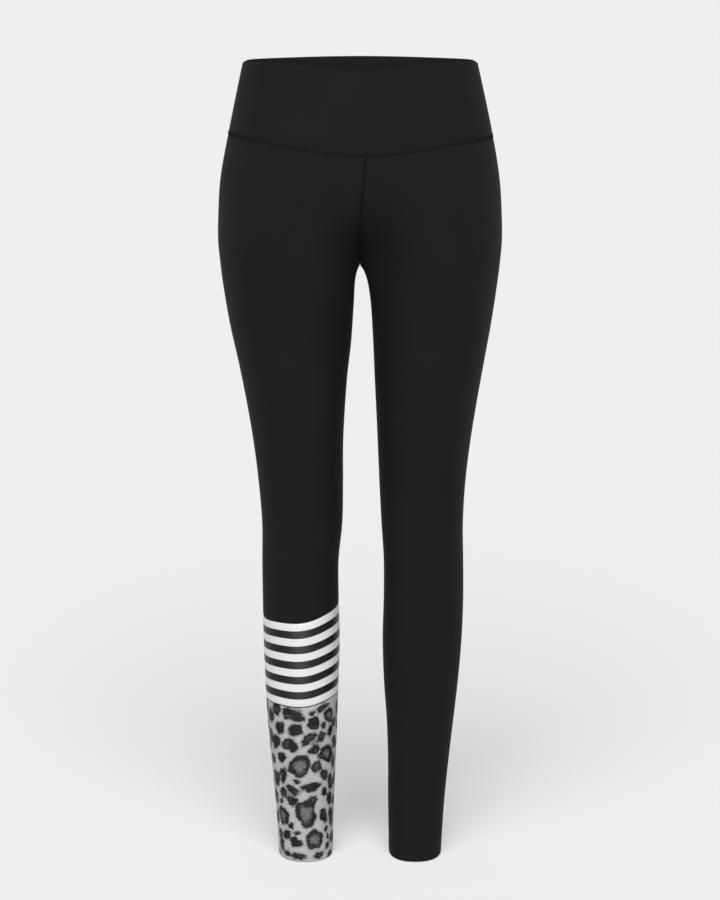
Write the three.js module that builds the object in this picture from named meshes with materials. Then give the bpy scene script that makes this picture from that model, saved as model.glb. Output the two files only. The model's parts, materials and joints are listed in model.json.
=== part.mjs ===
// High-waisted, full-length leggings, hollow and filled out as worn, with a striped and a
// spotted panel round the wearer's right calf and ankle.
// Millimetres, +Z up, the front faces -Y. The origin is the centre of the waist opening, level
// with the waistband's top edge at the sides, and the wearer's right leg is at -X.
import * as THREE from "three";

// Driving dimensions.
const CROTCH_Z = -228; // where the four leg panels meet
const HEM_Z = -955;
const CLOTH = 1.4; // one layer of knit
const BAND_CLOTH = 2.2; // the waistband is two layers
const HEM_CLOTH = 2.6; // the hem is turned up inside
const HEM_DEPTH = 20;
const HEM_STEP = 1; // height over which the hem's second layer begins
const SEAM_GAP = 0.3; // between sewn pieces
const FRONT_RISE_CURVE = 95; // height over which the front centre seam curves under
const BACK_RISE_CURVE = 110;
const THIGH_BLEND = 50; // how far below the crotch the trunk's form reaches down the thighs
const ARCH_DROP = 60; // within this drop, mostly the cloth beside the inseams makes room for the arch
const ARCH_CORNER = 3; // 2 is a round turn into the arch, and more is a sharper one
const SQUARENESS = 2.3; // 2 is an ellipse, and more is a squarer oval
const SEAM_LEAN = 6; // the front centre seam starts this far to the wearer's left
const SEAM_LEAN_END_Z = -195;
const SEAM_LEAN_REACH = 60; // how far to each side the cloth leans with it

// The waistband's edges. A dip is how far the middle hangs below the sides.
const TOP_EDGE = { front: 6.6, back: -1.6 };
const BAND_EDGE_Z = -85.5;
const BAND_EDGE = { front: 14.5, back: 4, slope: -0.011 };

// The striped panel's two edges climb towards the inside of the leg, and hang lower in front.
const PANEL_MIDDLE_X = -71;
const STRIPE_TOP = { z: -646.4, slope: 0.158 };
const STRIPE_FOOT = { z: -753.1, slope: 0.09 };
const STRIPE_DIP = 5;
const STRIPE_DIP_X = -66;
const STRIPE_DIP_REACH = 43;

// Level by level: how far each side seam stands out, how far the front and back stand out, the
// side seams' own place from front to back, and how far out the fullest part of the section
// lies, as a share of the way to the side seam.
const SECTIONS = [
  { z: 8, right: 130.7, left: 130.7, front: 97, back: 93, side: 0, full: 0 },
  { z: 0, right: 132.4, left: 132.6, front: 98, back: 94, side: 0, full: 0 },
  { z: -45, right: 142.3, left: 143.1, front: 106, back: 100, side: 0, full: 0 },
  { z: -88, right: 151.4, left: 152.2, front: 112, back: 110, side: 0, full: 0.06 },
  { z: -134, right: 159.9, left: 159.9, front: 116.5, back: 122, side: 0, full: 0.23 },
  { z: -180, right: 162.8, left: 162.9, front: 117, back: 128, side: 0, full: 0.41 },
  { z: -205, right: 162.9, left: 163, front: 116, back: 125, side: -1, full: 0.477 },
  { z: -228, right: 160.7, left: 161, front: 114, back: 117, side: -3, full: 0.5 },
  { z: -250, right: 158.1, left: 158.4, front: 111.5, back: 107, side: -5, full: 0.51 },
  { z: -296, right: 150.7, left: 151.8, front: 106, back: 92, side: -8, full: 0.533 },
  { z: -344, right: 140.5, left: 143.6, front: 99, back: 80, side: -10, full: 0.552 },
  { z: -391, right: 131.7, left: 135.8, front: 90.5, back: 70, side: -11, full: 0.567 },
  { z: -439, right: 124.4, left: 128.9, front: 80.5, back: 61, side: -10, full: 0.58 },
  { z: -488, right: 119, left: 123.8, front: 70.5, back: 52.5, side: -9, full: 0.59 },
  { z: -537, right: 115.7, left: 121.7, front: 62, back: 48, side: -6, full: 0.602 },
  { z: -586, right: 116.2, left: 122.8, front: 54.5, back: 51, side: -1, full: 0.613 },
  { z: -635, right: 116.2, left: 123.5, front: 48.5, back: 58, side: 4, full: 0.613 },
  { z: -685, right: 115.8, left: 122.1, front: 44, back: 60, side: 7, full: 0.612 },
  { z: -736, right: 114.2, left: 118.3, front: 40.5, back: 56, side: 7, full: 0.621 },
  { z: -787, right: 111.7, left: 113, front: 37.5, back: 49.5, side: 6, full: 0.635 },
  { z: -838, right: 107.3, left: 107.6, front: 35.5, back: 44, side: 5, full: 0.65 },
  { z: -890, right: 102.9, left: 102.9, front: 35, back: 41, side: 4, full: 0.66 },
  { z: -942, right: 99.6, left: 99.8, front: 36, back: 40, side: 2, full: 0.67 },
  { z: -960, right: 98.9, left: 99, front: 36.3, back: 40, side: 2, full: 0.672 },
];

// How far each inseam stands off the middle plane, by the drop below the crotch.
const INSEAMS = [
  { drop: 0, right: 0, left: 0 },
  { drop: 21, right: 5.7, left: 9 },
  { drop: 45, right: 6.9, left: 12.2 },
  { drop: 92, right: 10, left: 15.1 },
  { drop: 139, right: 15.2, left: 17.2 },
  { drop: 211, right: 19.5, left: 20.6 },
  { drop: 260, right: 19.8, left: 22.7 },
  { drop: 309, right: 20.7, left: 25.2 },
  { drop: 358, right: 25.4, left: 28.2 },
  { drop: 407, right: 25.4, left: 28.3 },
  { drop: 457, right: 24.3, left: 27.2 },
  { drop: 508, right: 25.8, left: 28.7 },
  { drop: 559, right: 27.4, left: 32.3 },
  { drop: 610, right: 29.5, left: 34 },
  { drop: 662, right: 31.7, left: 34.2 },
  { drop: 732, right: 33.3, left: 35.4 },
];

// How finely the pieces are cut into faces.
const PANEL_COLUMNS = 12;
const BAND_COLUMNS = 26;
const BAND_ROWS = 6;
const STRIPE_ROWS = 6;
const SPOT_ROWS = 8;
const INSEAM_ROW_DROPS = [1.5, 6, 13, 23, 38];
const LEG_ROW_HEIGHT = 27;
const RISE_ROWS = 7;
const QUARTER_STEPS = 48;

const RIGHT = -1;
const LEFT = 1;
const FRONT = -1;
const BACK = 1;

const blackKnit = new THREE.MeshStandardMaterial({ color: 0x252527, roughness: 0.85, metalness: 0 });
const stripePrint = new THREE.MeshStandardMaterial({ color: 0xe6e6e8, roughness: 0.5, metalness: 0 });
const spotPrint = new THREE.MeshStandardMaterial({ color: 0x8e8c8a, roughness: 0.5, metalness: 0 });

// A smooth value between the rows of a table, where keys only rise or only fall.
function between(rows, keyOf, column, key) {
  const rising = keyOf(rows[1]) > keyOf(rows[0]);
  let i = 0;
  while (i < rows.length - 2 && (rising ? key > keyOf(rows[i + 1]) : key < keyOf(rows[i + 1]))) i += 1;
  const slopeAt = (k) => {
    const before = rows[Math.max(0, k - 1)];
    const after = rows[Math.min(rows.length - 1, k + 1)];
    return (after[column] - before[column]) / (keyOf(after) - keyOf(before));
  };
  const span = keyOf(rows[i + 1]) - keyOf(rows[i]);
  const s = THREE.MathUtils.clamp((key - keyOf(rows[i])) / span, 0, 1);
  const s2 = s * s;
  const s3 = s2 * s;
  return (
    (2 * s3 - 3 * s2 + 1) * rows[i][column] +
    (s3 - 2 * s2 + s) * span * slopeAt(i) +
    (3 * s2 - 2 * s3) * rows[i + 1][column] +
    (s3 - s2) * span * slopeAt(i + 1)
  );
}

const sectionAt = (column, z) => between(SECTIONS, (row) => row.z, column, z);

// The gap between the legs opens like a pointed arch, so its table is read by the drop's root.
function inseamAt(column, z) {
  if (z >= CROTCH_Z) return 0;
  return between(INSEAMS, (row) => Math.sqrt(row.drop), column, Math.sqrt(CROTCH_Z - z));
}

// How far the inner half of a section has filled out from a leg's own oval to the trunk's flat
// middle, from 0 to 1. At the centre seam, where round is 0, that starts at the crotch: the seam
// runs down, curves under and ends level between the legs. Further out it starts lower, and
// more gently.
function filledOut(face, z, round) {
  const reach = THIGH_BLEND * round;
  const height = (face === FRONT ? FRONT_RISE_CURVE : BACK_RISE_CURVE) + reach;
  const left = 1 - THREE.MathUtils.clamp((z - CROTCH_Z + reach) / height, 0, 1);
  return (1 - left * left) ** (0.5 + round);
}

// A distance across that starts at the arch's edge, and is soon what it would be without it.
const pushedAside = (x, edge) => (Math.max(0, x) ** ARCH_CORNER + edge ** ARCH_CORNER) ** (1 / ARCH_CORNER);

// A quarter of the trunk, or half a leg, at one level: points from the centre seam or inseam
// round to the side seam, with half a seam's gap left at each end.
function arcAt(side, face, z, columns) {
  const name = side === RIGHT ? "right" : "left";
  const outer = sectionAt(name, z);
  const inner = inseamAt(name, z) + (z <= CROTCH_Z ? SEAM_GAP / 2 : 0);
  const bent = inner * THREE.MathUtils.smoothstep(CROTCH_Z - z, 0, ARCH_DROP);
  const middle = sectionAt("side", z);
  const depth = sectionAt(face === FRONT ? "front" : "back", z) - face * middle;
  const full = sectionAt("full", z);

  const dense = [];
  for (let i = 0; i <= 2 * QUARTER_STEPS; i += 1) {
    const angle = (Math.PI * i) / (2 * QUARTER_STEPS);
    const isInner = i < QUARTER_STEPS;
    const radius = isInner ? outer * full - bent : outer * (1 - full);
    const across = Math.sign(Math.cos(angle)) * Math.abs(Math.cos(angle)) ** (2 / SQUARENESS);
    const round = Math.sin(angle) ** (2 / SQUARENESS);
    const swell = isInner ? round + (1 - round) * filledOut(face, z, round) : round;
    let x = outer * full - radius * across;
    if (isInner) x = bent + pushedAside(x - bent, (inner - bent) * across);
    dense.push(new THREE.Vector2(side * x, middle + face * depth * swell));
  }
  return spread(dense, Math.min(0.5, full), columns);
}

// Points along a section, evenly spaced on each side of its fullest point.
function spread(dense, innerShare, columns) {
  const lengths = [0];
  for (let i = 1; i < dense.length; i += 1) lengths.push(lengths[i - 1] + dense[i].distanceTo(dense[i - 1]));
  const first = SEAM_GAP / 2;
  const fullest = Math.max(first, lengths[QUARTER_STEPS]);
  const last = lengths[lengths.length - 1] - SEAM_GAP / 2;
  const points = [];
  for (let c = 0, k = 0; c <= columns; c += 1) {
    const share = c / columns;
    const along =
      share < innerShare
        ? THREE.MathUtils.mapLinear(share, 0, innerShare, first, fullest)
        : THREE.MathUtils.mapLinear(share, innerShare, 1, fullest, last);
    while (lengths[k + 1] < along) k += 1;
    const part = (along - lengths[k]) / (lengths[k + 1] - lengths[k]);
    points.push(dense[k].clone().lerp(dense[k + 1], part));
  }
  return points;
}

// 1 in the middle of an edge, falling to 0 at a distance from it.
const dipAt = (x, reach) => 0.5 + 0.5 * Math.cos((Math.PI * Math.min(Math.abs(x), reach)) / reach);

function topEdgeZ(face, x) {
  return -(face === FRONT ? TOP_EDGE.front : TOP_EDGE.back) * dipAt(x, sectionAt("left", 0));
}

function bandEdgeZ(face, x) {
  const dip = face === FRONT ? BAND_EDGE.front : BAND_EDGE.back;
  return BAND_EDGE_Z - dip * dipAt(x, sectionAt("left", BAND_EDGE_Z)) + BAND_EDGE.slope * x;
}

function stripeEdgeZ(edge, face, x) {
  const dip = face === FRONT ? STRIPE_DIP * dipAt(x - STRIPE_DIP_X, STRIPE_DIP_REACH) : 0;
  return edge.z + edge.slope * (x - PANEL_MIDDLE_X) - dip;
}

// How far the front centre seam draws the cloth of the legs near it to the wearer's left.
function leanAt(face, x, z) {
  if (face === BACK) return 0;
  return SEAM_LEAN * THREE.MathUtils.smoothstep(z, SEAM_LEAN_END_Z, BAND_EDGE_Z) * dipAt(x, SEAM_LEAN_REACH);
}

const noLean = () => 0;

// A point of the garment's outside on a row whose level depends on how far across it is.
function pointAt(side, face, rowZ, column, columns, lean) {
  const nearZ = rowZ(side * Math.abs(PANEL_MIDDLE_X));
  const near = arcAt(side, face, nearZ, columns)[column];
  const z = rowZ(near.x + lean(face, near.x, nearZ));
  const at = arcAt(side, face, z, columns)[column];
  return new THREE.Vector3(at.x + lean(face, at.x, z), at.y, z);
}

// Rows evenly shared between two edges, both edges included.
function rowsBetween(topZ, footZ, count) {
  const rows = [];
  for (let j = 0; j <= count; j += 1) rows.push((x) => THREE.MathUtils.lerp(topZ(x), footZ(x), j / count));
  return rows;
}

// The level rows of a leg panel under the waistband, close together at the crotch.
function legRows(footZ) {
  const levels = [];
  for (let i = RISE_ROWS; i >= 0; i -= 1) {
    levels.push(CROTCH_Z + BACK_RISE_CURVE * (1 - Math.cos((Math.PI * i) / (2 * RISE_ROWS))));
  }
  for (const drop of INSEAM_ROW_DROPS) levels.push(CROTCH_Z - drop);
  const start = levels[levels.length - 1];
  const count = Math.round((start - footZ) / LEG_ROW_HEIGHT);
  for (let i = 1; i < count; i += 1) levels.push(start + ((footZ - start) * i) / count);
  return levels.map((z) => () => z);
}

const hemRows = [HEM_Z + HEM_DEPTH + HEM_STEP, HEM_Z + HEM_DEPTH, HEM_Z].map((z) => () => z);

// Both triangles of one cell of a grid, as pairs of row and column.
const cellTriangles = (j, i) => [
  [[j, i], [j + 1, i], [j + 1, i + 1]],
  [[j, i], [j + 1, i + 1], [j, i + 1]],
];

// Outward directions at the points of a grid, from the faces round each point. At a seam they
// are kept square to its plane, so that the two pieces' edges stay parallel through the wall.
function outwardAt(grid, face, edges) {
  const normals = grid.map((row) => row.map(() => new THREE.Vector3()));
  const lastColumn = grid[0].length - 1;
  for (let j = 0; j + 1 < grid.length; j += 1) {
    for (let i = 0; i < lastColumn; i += 1) {
      for (const corners of cellTriangles(j, i)) {
        const [a, b, c] = corners.map(([row, column]) => grid[row][column]);
        const normal = b.clone().sub(a).cross(c.clone().sub(a));
        for (const [row, column] of corners) normals[row][column].add(normal);
      }
    }
  }
  for (const [column, edge] of [[0, edges[0]], [lastColumn, edges[1]]]) {
    normals.forEach((row, j) => {
      const z = grid[j][column].z;
      if (edge === "side" || z < CROTCH_Z) row[column].y = 0;
      else if (filledOut(face, z, 0) === 1) row[column].x = 0;
    });
  }
  for (const row of normals) for (const normal of row) normal.normalize();
  return normals;
}

// A closed wall. The grid is its outside, with rows running down and columns running so that
// its faces look outwards, and the inside lies a thickness behind it.
function wall(grid, face, edges, thicknessAt) {
  const rows = grid.length;
  const columns = grid[0].length;
  const outward = outwardAt(grid, face, edges);
  const inside = grid.map((row, j) =>
    row.map((point, i) => point.clone().addScaledVector(outward[j][i], -thicknessAt(point.z))),
  );
  const positions = [...grid, ...inside].flat().flatMap((point) => point.toArray());
  const outerIndex = ([j, i]) => j * columns + i;
  const innerIndex = ([j, i]) => (rows + j) * columns + i;
  const index = [];
  for (let j = 0; j + 1 < rows; j += 1) {
    for (let i = 0; i + 1 < columns; i += 1) {
      for (const [a, b, c] of cellTriangles(j, i)) {
        index.push(outerIndex(a), outerIndex(b), outerIndex(c));
        index.push(innerIndex(a), innerIndex(c), innerIndex(b));
      }
    }
  }
  const rim = [];
  for (let j = 0; j + 1 < rows; j += 1) rim.push([j, 0]);
  for (let i = 0; i + 1 < columns; i += 1) rim.push([rows - 1, i]);
  for (let j = rows - 1; j > 0; j -= 1) rim.push([j, columns - 1]);
  for (let i = columns - 1; i > 0; i -= 1) rim.push([0, i]);
  rim.forEach((from, k) => {
    const to = rim[(k + 1) % rim.length];
    index.push(outerIndex(from), innerIndex(from), innerIndex(to));
    index.push(outerIndex(from), innerIndex(to), outerIndex(to));
  });
  const geometry = new THREE.BufferGeometry();
  geometry.setAttribute("position", new THREE.Float32BufferAttribute(positions, 3));
  geometry.setIndex(index);
  geometry.computeVertexNormals();
  return geometry;
}

// Half of the waistband, front or back, from one side seam to the other.
function bandGeometry(face) {
  const half = BAND_COLUMNS / 2;
  const seamZ = (x) => bandEdgeZ(face, x) + SEAM_GAP / 2;
  const grid = rowsBetween((x) => topEdgeZ(face, x), seamZ, BAND_ROWS).map((rowZ) => {
    const row = [];
    for (let i = -half; i <= half; i += 1) {
      row.push(pointAt(i < 0 ? RIGHT : LEFT, face, rowZ, Math.abs(i), half, noLean));
    }
    row[half].x = 0;
    return face === FRONT ? row : row.reverse();
  });
  return wall(grid, face, ["side", "side"], () => BAND_CLOTH);
}

// The front or back of a leg, or of a panel round it, over the given rows from the top down.
function panelGeometry(side, face, rows) {
  const startsAtCentre = side * face < 0;
  const grid = rows.map((rowZ) => {
    const row = [];
    for (let i = 0; i <= PANEL_COLUMNS; i += 1) row.push(pointAt(side, face, rowZ, i, PANEL_COLUMNS, leanAt));
    return startsAtCentre ? row : row.reverse();
  });
  const edges = startsAtCentre ? ["centre", "side"] : ["side", "centre"];
  return wall(grid, face, edges, (z) => (z > HEM_Z + HEM_DEPTH ? CLOTH : HEM_CLOTH));
}

const leggings = new THREE.Group();
leggings.name = "leggings";

function addPiece(name, geometry, material) {
  const mesh = new THREE.Mesh(geometry, material);
  mesh.name = name;
  leggings.add(mesh);
}

const above = (edgeZ) => (x) => edgeZ(x) + SEAM_GAP / 2;
const below = (edgeZ) => (x) => edgeZ(x) - SEAM_GAP / 2;

for (const [faceName, face] of [["front", FRONT], ["back", BACK]]) {
  const underBand = below((x) => bandEdgeZ(face, x));
  const stripeTopZ = (x) => stripeEdgeZ(STRIPE_TOP, face, x);
  const stripeFootZ = (x) => stripeEdgeZ(STRIPE_FOOT, face, x);
  const longLeg = [underBand, ...legRows(HEM_Z + HEM_DEPTH), ...hemRows];
  const shortLeg = [underBand, ...legRows(STRIPE_TOP.z), above(stripeTopZ)];
  const stripes = rowsBetween(below(stripeTopZ), above(stripeFootZ), STRIPE_ROWS);
  const spots = [...rowsBetween(below(stripeFootZ), hemRows[0], SPOT_ROWS), hemRows[1], hemRows[2]];

  addPiece(`waistband_${faceName}`, bandGeometry(face), blackKnit);
  addPiece(`leg_left_${faceName}`, panelGeometry(LEFT, face, longLeg), blackKnit);
  addPiece(`leg_right_${faceName}`, panelGeometry(RIGHT, face, shortLeg), blackKnit);
  addPiece(`stripe_panel_${faceName}`, panelGeometry(RIGHT, face, stripes), stripePrint);
  addPiece(`spot_panel_${faceName}`, panelGeometry(RIGHT, face, spots), spotPrint);
}

export default leggings;
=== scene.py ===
"""High-waisted, full-length leggings, filled out as worn, with a striped and a spotted panel round
the wearer's right lower leg. The tables are in millimetres and every finished mesh is in metres.
+Z is up, the front faces -Y, and the origin is the centre of the waist opening."""
import json
import math
from collections import namedtuple

import bmesh
import bpy
import numpy as np
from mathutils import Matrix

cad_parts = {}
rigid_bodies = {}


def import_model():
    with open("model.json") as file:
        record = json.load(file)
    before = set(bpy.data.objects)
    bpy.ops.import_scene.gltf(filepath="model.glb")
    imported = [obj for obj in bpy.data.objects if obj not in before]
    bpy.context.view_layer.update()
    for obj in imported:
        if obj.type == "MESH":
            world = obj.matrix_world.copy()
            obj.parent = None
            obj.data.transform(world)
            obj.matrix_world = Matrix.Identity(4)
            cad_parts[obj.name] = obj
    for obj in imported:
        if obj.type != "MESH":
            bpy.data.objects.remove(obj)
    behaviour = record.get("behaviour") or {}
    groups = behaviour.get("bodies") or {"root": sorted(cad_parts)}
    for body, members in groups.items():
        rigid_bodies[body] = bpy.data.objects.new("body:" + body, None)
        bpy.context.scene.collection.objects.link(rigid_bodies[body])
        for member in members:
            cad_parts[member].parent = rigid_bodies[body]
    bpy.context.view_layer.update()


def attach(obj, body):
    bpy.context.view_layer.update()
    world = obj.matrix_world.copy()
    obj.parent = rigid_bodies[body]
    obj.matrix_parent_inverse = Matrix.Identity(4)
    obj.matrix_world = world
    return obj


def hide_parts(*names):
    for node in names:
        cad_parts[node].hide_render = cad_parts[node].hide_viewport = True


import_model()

bl_info = {
    "name": "Leggings",
    "version": (1, 0, 0),
    "blender": (4, 5, 0),
    "location": "3D View > Sidebar > Leggings",
    "description": "Sewn stretch leggings with striped and spotted panels",
    "category": "Add Mesh",
}

MM = 0.001
RIGHT, LEFT = -1, 1
FRONT, BACK = -1, 1
FACES = {"front": FRONT, "back": BACK}
SIDE_NAMES = {RIGHT: "right", LEFT: "left"}


def table(name, columns, rows, **options):
    """Rows of values under named columns."""
    row_type = namedtuple(name, columns, **options)
    return [row_type(*row) for row in rows]


# The garment's form, in millimetres.
CROTCH_Z = -228
HEM_Z = -955
SEAM_GAP = 0.08
FRONT_RISE_CURVE = 95
BACK_RISE_CURVE = 110
THIGH_BLEND = 50
SQUARENESS = 2.3
SEAM_LEAN = 6
SEAM_LEAN_END_Z = -195
SEAM_LEAN_REACH = 60
TOP_DIP = {FRONT: 8.3, BACK: -1.6}
TOP_DIP_REACH = 106
SIDE_DROP = 2.5
SIDE_DROP_POWER = 70
BAND_EDGE_Z = -85.5
BAND_DIP = {FRONT: 14.5, BACK: 4}
BAND_SLOPE = -0.011
PANEL_MIDDLE_X = -71
ARCH_DROP = 60
ARCH_CORNER = 3
QUARTER_STEPS = 48

Edge = namedtuple("Edge", "z slope")
STRIPE_TOP = Edge(-646.4, 0.158)
STRIPE_FOOT = Edge(-753.1, 0.09)
STRIPE_DIP = {FRONT: 5, BACK: 0}
STRIPE_DIP_X = -66
STRIPE_DIP_REACH = 43
STRIPE_PITCHES = 5.54
WHITE_SHARE = 0.493
STRIPE_BLUR = 0.008

# How far the cloth stands out at each level, and how far out its fullest part lies.
SECTIONS = table("Section", "z right left front back side full", [
    (8, 130.7, 130.7, 97, 93, 0, 0),
    (0, 132.4, 132.6, 98, 94, 0, 0),
    (-45, 142.3, 143.1, 106, 100, 0, 0),
    (-88, 151.4, 152.2, 112, 110, 0, 0.06),
    (-134, 159.9, 159.9, 116.5, 122, 0, 0.23),
    (-180, 162.8, 162.9, 117, 128, 0, 0.41),
    (-205, 162.9, 163, 116, 125, -1, 0.477),
    (-228, 160.7, 161, 114, 117, -3, 0.5),
    (-250, 158.1, 158.4, 111.5, 107, -5, 0.51),
    (-296, 150.7, 151.8, 106, 92, -8, 0.533),
    (-344, 140.5, 143.6, 99, 80, -10, 0.552),
    (-391, 131.7, 135.8, 90.5, 70, -11, 0.567),
    (-439, 124.4, 128.9, 80.5, 61, -10, 0.58),
    (-488, 119, 123.8, 70.5, 52.5, -9, 0.59),
    (-537, 115.7, 121.7, 62, 48, -6, 0.602),
    (-586, 116.2, 122.8, 54.5, 51, -1, 0.613),
    (-635, 116.2, 123.5, 48.5, 58, 4, 0.613),
    (-685, 115.8, 122.1, 44, 60, 7, 0.612),
    (-736, 114.2, 118.3, 40.5, 56, 7, 0.621),
    (-787, 111.7, 113, 37.5, 49.5, 6, 0.635),
    (-838, 107.3, 107.6, 35.5, 44, 5, 0.65),
    (-890, 102.9, 102.9, 35, 41, 4, 0.66),
    (-942, 99.6, 99.8, 36, 40, 2, 0.67),
    (-960, 98.9, 99, 36.3, 40, 2, 0.672),
])
INSEAMS = table("Inseam", "drop right left", [
    (0, 0, 0),
    (21, 5.7, 9),
    (45, 6.9, 12.2),
    (92, 10, 15.1),
    (139, 15.2, 17.2),
    (211, 19.5, 20.6),
    (260, 19.8, 22.7),
    (309, 20.7, 25.2),
    (358, 25.4, 28.2),
    (407, 25.4, 28.3),
    (457, 24.3, 27.2),
    (508, 25.8, 28.7),
    (559, 27.4, 32.3),
    (610, 29.5, 34),
    (662, 31.7, 34.2),
    (732, 33.3, 35.4),
])

# Soft creases and hollows: where each lies across from the panel's fullest line, and its turn
# from level in degrees, seen from outside.
CREASES = table("Crease", "side face across z length width depth turn bend", [
    (RIGHT, FRONT, 46, -214, 66, 5, 0.5, 34, 4),
    (RIGHT, FRONT, 58, -246, 48, 4, 0.4, 18, 3),
    (LEFT, FRONT, -50, -209, 58, 5, 0.45, -38, -4),
    (LEFT, FRONT, -56, -252, 56, 4.5, 0.45, -14, 3),
    (RIGHT, FRONT, 8, -534, 62, 17, 0.9, 6, 6),
    (RIGHT, FRONT, -6, -611, 54, 15, 0.8, -8, -5),
    (LEFT, FRONT, -4, -528, 66, 18, 1, -10, 6),
    (LEFT, FRONT, 9, -604, 50, 14, 0.8, 9, -4),
    (RIGHT, FRONT, -8, -508, 40, 4, 0.3, 12, 2),
    (LEFT, FRONT, 14, -498, 46, 4, 0.35, -17, -3),
    (RIGHT, BACK, 12, -262, 92, 8, 1.5, 7, 6),
    (RIGHT, BACK, -18, -281, 70, 6, 0.9, 12, 4),
    (LEFT, BACK, -10, -260, 98, 8, 1.6, -8, 6),
    (LEFT, BACK, 21, -284, 62, 6, 0.8, -14, 4),
    (RIGHT, BACK, 4, -521, 78, 5, 1.1, 5, -4),
    (RIGHT, BACK, -9, -540, 86, 6, 1.4, -4, -5),
    (RIGHT, BACK, 10, -559, 58, 5, 1, 9, 4),
    (RIGHT, BACK, -14, -575, 44, 4, 0.6, -12, 3),
    (LEFT, BACK, -6, -517, 70, 5, 1, -7, -4),
    (LEFT, BACK, 8, -536, 90, 6, 1.5, 3, -5),
    (LEFT, BACK, -12, -556, 64, 5, 1.1, -10, 4),
    (LEFT, BACK, 15, -571, 40, 4, 0.7, 14, 3),
    (LEFT, FRONT, 6, -902, 52, 5, 0.35, 7, 2),
    (LEFT, FRONT, -12, -921, 38, 4, 0.3, -9, -2),
    (RIGHT, FRONT, 5, -906, 44, 5, 0.3, -6, 2),
    (LEFT, BACK, 3, -893, 60, 6, 0.7, -5, 3),
    (LEFT, BACK, -8, -914, 48, 5, 0.6, 8, -3),
    (RIGHT, BACK, -5, -896, 56, 6, 0.65, 6, 3),
    (RIGHT, BACK, 9, -918, 42, 5, 0.5, -9, -2),
])

# The spotted print, charted on the flat cloth: across from the panel's fullest line and
# down from its top seam. The back panel repeats it mirrored and moved down.
SOLID, HALO = 0, -1
SPOTS = table("Spot", "across down width height turn core", [
    (-42.5, 15.5, 12, 17, 8),
    (-31.5, 4.5, 13, 15, -20),
    (-14.5, 8, 15, 15, 12),
    (-4.5, 11.5, 19, 12, -8),
    (-7, 4.5, 17, 10, 0, HALO),
    (15, 7.5, 8, 4.5, 12),
    (27.5, 2, 17, 7, 22),
    (37.5, 13.5, 15, 18, 6, 0.36),
    (48.5, 25, 9, 12, -10),
    (16, 20.5, 15, 16, 20),
    (29, 24.5, 6, 8, 0),
    (39.5, 34, 8, 14, -8),
    (-26.5, 27.5, 13, 15, -12),
    (-6, 28.5, 18, 14, 6),
    (-44.5, 42, 10, 16, 10),
    (-34, 47, 14, 18, -16),
    (-13.5, 48.5, 19, 16, -30),
    (9.5, 40, 22, 9, 36),
    (16, 54.5, 14, 10, 16),
    (25.5, 38.5, 9, 13, -22),
    (17, 45.5, 15, 10, 28, HALO),
    (48, 50.5, 9, 15, 5),
    (33, 62, 20, 23, 24, 0.38),
    (-25.5, 65.5, 12, 12, 10),
    (-42.5, 71.5, 11, 11, 0),
    (-2.5, 74.5, 25, 28, -34, 0.5),
    (18, 76.5, 12, 14, -10),
    (28, 88, 10, 14, 12),
    (46, 76, 9, 16, -6),
    (-24, 88, 9, 19, -10),
    (-37, 95, 13, 20, -8),
    (-7, 94.5, 8, 5, -6),
    (10.5, 102, 21, 12, 14),
    (39.5, 101, 11, 19, 10),
    (50.5, 100, 9, 14, -6),
    (-25.5, 110.5, 9, 13, -12),
    (-12.5, 105.5, 17, 9, -34),
    (-13.5, 119.5, 13, 11, 12),
    (-17.5, 114.5, 15, 11, -10, HALO),
    (-29.5, 122.5, 5.5, 5.5, 0),
    (-42.5, 119.5, 12, 18, 14),
    (27.5, 110, 8, 10, 8),
    (36.5, 121, 10, 16, 12),
    (48, 126.5, 10, 12, -10),
    (-27.5, 141, 17, 22, 4, 0.36),
    (3, 135, 25, 34, 10, 0.5),
    (11.5, 119, 10, 12, -30),
    (25.5, 140.5, 10, 18, 14),
    (40.5, 146, 12, 22, 6),
    (-42.5, 147.5, 10, 16, -10),
    (-16.5, 152, 6.5, 7.5, 0),
    (29, 158.5, 5.5, 6, 0),
    (-23, 164.5, 13, 10, 24),
    (-36, 166.5, 9, 12, -14),
    (-9, 160, 7, 4, 6),
    (32, 169, 4.5, 6, 10),
    (43, 173, 12, 14, -8),
    (-11, 172, 15, 12, -16),
    (12.5, 169, 20, 25, 16, 0.46),
    (-33, 179.5, 11, 15, 8),
    (31, 180, 6.5, 8, -12),
    (-44.5, 196, 10, 10, 0),
    (-23, 188.5, 9, 7, 10),
    (-8, 190, 17, 8, -4),
    (17, 189.5, 12, 8, 6),
    (37.5, 193.5, 12, 9, 0),
    (-56, 7, 11, 16, 6),
    (-66, 20, 10, 15, -10),
    (-57, 32, 10, 14, -12),
    (-54, 55, 12, 15, 8),
    (-65, 62, 9, 16, 4),
    (-57, 79, 10, 17, -6),
    (-64, 97, 9, 12, 12),
    (-54, 103, 11, 14, 12),
    (-58, 127, 10, 17, -8),
    (-55, 151, 12, 14, 10),
    (-64, 142, 8, 13, -4),
    (-57, 175, 10, 13, -6),
    (58, 10, 11, 15, -8),
    (63, 33, 12, 16, 10),
    (58, 55, 10, 13, -6),
    (66, 72, 11, 17, 8),
    (60, 96, 12, 18, -10),
    (66, 119, 10, 13, 6),
    (58, 137, 11, 16, 12),
    (66, 158, 11, 14, -8),
    (57, 178, 12, 13, 6),
], defaults=[SOLID])
SPOTS_Z = -758
SPOT_REPEAT = 197
BACK_SPOT_SHIFT = 71
SPOT_SEED = 7
# The waves that make a spot's outline uneven: how many go round it, and their greatest size.
SPOT_LOBES = ((2, 0.09), (3, 0.12), (4, 0.08), (5, 0.07), (7, 0.05))
CORE_LOBES = 1.4
CORE_TURN = 1.3
FAR_OUTSIDE = -20.0
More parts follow.
